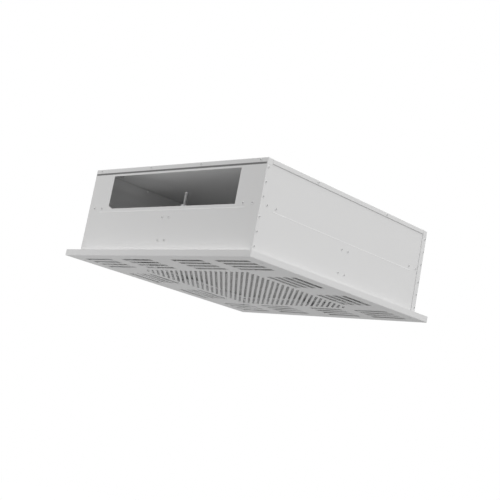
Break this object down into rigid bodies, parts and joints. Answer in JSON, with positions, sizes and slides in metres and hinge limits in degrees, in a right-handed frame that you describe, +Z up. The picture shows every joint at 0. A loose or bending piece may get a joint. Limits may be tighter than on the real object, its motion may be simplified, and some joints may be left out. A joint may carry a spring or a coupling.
{
  "type": "hepa air outlet",
  "caption": "Square ceiling air outlet: slotted face plate, riveted sheet casing with side duct opening, clamped pleated HEPA filter inside.",
  "frame": {"origin": "middle of the face plate's underside, the lowest plane of the outlet", "axes": "+Z up into the ceiling, -Y towards the duct opening, +X to the right seen from the duct side"},
  "size_m": [0.595, 0.595, 0.21],
  "materials": {
    "casing_paint": "light grey powder coat",
    "plate_paint": "light grey powder coat",
    "rivet_metal": "satin",
    "groove_sealant": "matt elastic sealant",
    "zinc_sheet": "galvanised",
    "zinc_steel": "bright zinc plating",
    "filter_aluminium": "anodised",
    "filter_paper": "matt glass-fibre paper",
    "filter_glue": "set resin",
    "filter_gasket_foam": "foamed gasket",
    "guard_mesh": "white coating"
  },
  "bodies": {
    "housing": {"back_clamp_bracket": "zinc_sheet", "back_clamp_rod": "zinc_steel", "back_groove_seal": "groove_sealant", "back_left_corner_rivets": "rivet_metal", "back_lower_nut": "zinc_steel", "back_panel": "casing_paint", "back_right_corner_rivets": "rivet_metal", "back_upper_nut": "zinc_steel", "back_washer": "zinc_steel", "bracket_rivets": "rivet_metal", "cover_rivets": "rivet_metal", "face_plate": "plate_paint", "face_screws": "zinc_steel", "face_weld_nuts": "zinc_steel", "filter_back_bar": "filter_aluminium", "filter_front_bar": "filter_aluminium", "filter_gasket": "filter_gasket_foam", "filter_left_bar": "filter_aluminium", "filter_potting": "filter_glue", "filter_right_bar": "filter_aluminium", "frame_rivets": "rivet_metal", "front_clamp_bracket": "zinc_sheet", "front_clamp_rod": "zinc_steel", "front_groove_seal": "groove_sealant", "front_left_corner_rivets": "rivet_metal", "front_lower_nut": "zinc_steel", "front_panel": "casing_paint", "front_right_corner_rivets": "rivet_metal", "front_upper_nut": "zinc_steel", "front_washer": "zinc_steel", "hanger_nuts": "zinc_steel", "left_clamp_bracket": "zinc_sheet", "left_clamp_rod": "zinc_steel", "left_lower_nut": "zinc_steel", "left_panel": "casing_paint", "left_upper_nut": "zinc_steel", "left_washer": "zinc_steel", "lower_glue_threads": "filter_glue", "lower_guard": "guard_mesh", "pleated_paper": "filter_paper", "right_clamp_bracket": "zinc_sheet", "right_clamp_rod": "zinc_steel", "right_lower_nut": "zinc_steel", "right_panel": "casing_paint", "right_upper_nut": "zinc_steel", "right_washer": "zinc_steel", "sealant_bead": "groove_sealant", "sealing_frame": "zinc_sheet", "top_cover": "casing_paint", "upper_glue_threads": "filter_glue", "upper_guard": "guard_mesh"},
    "front_claw_arm": {"front_claw": "zinc_steel"},
    "right_claw_arm": {"right_claw": "zinc_steel"},
    "back_claw_arm": {"back_claw": "zinc_steel"},
    "left_claw_arm": {"left_claw": "zinc_steel"}
  },
  "joints": [
    {"name": "front_claw_swing", "type": "hinge", "parent": "housing", "child": "front_claw_arm", "pos_m": [0, -0.229, 0.01985], "axis": [0, 0, 1], "range_deg": [-90, 90]},
    {"name": "right_claw_swing", "type": "hinge", "parent": "housing", "child": "right_claw_arm", "pos_m": [0.229, 0, 0.01985], "axis": [0, 0, 1], "range_deg": [-90, 90]},
    {"name": "back_claw_swing", "type": "hinge", "parent": "housing", "child": "back_claw_arm", "pos_m": [0, 0.229, 0.01985], "axis": [0, 0, 1], "range_deg": [-90, 90]},
    {"name": "left_claw_swing", "type": "hinge", "parent": "housing", "child": "left_claw_arm", "pos_m": [-0.229, 0, 0.01985], "axis": [0, 0, 1], "range_deg": [-90, 90]}
  ]
}
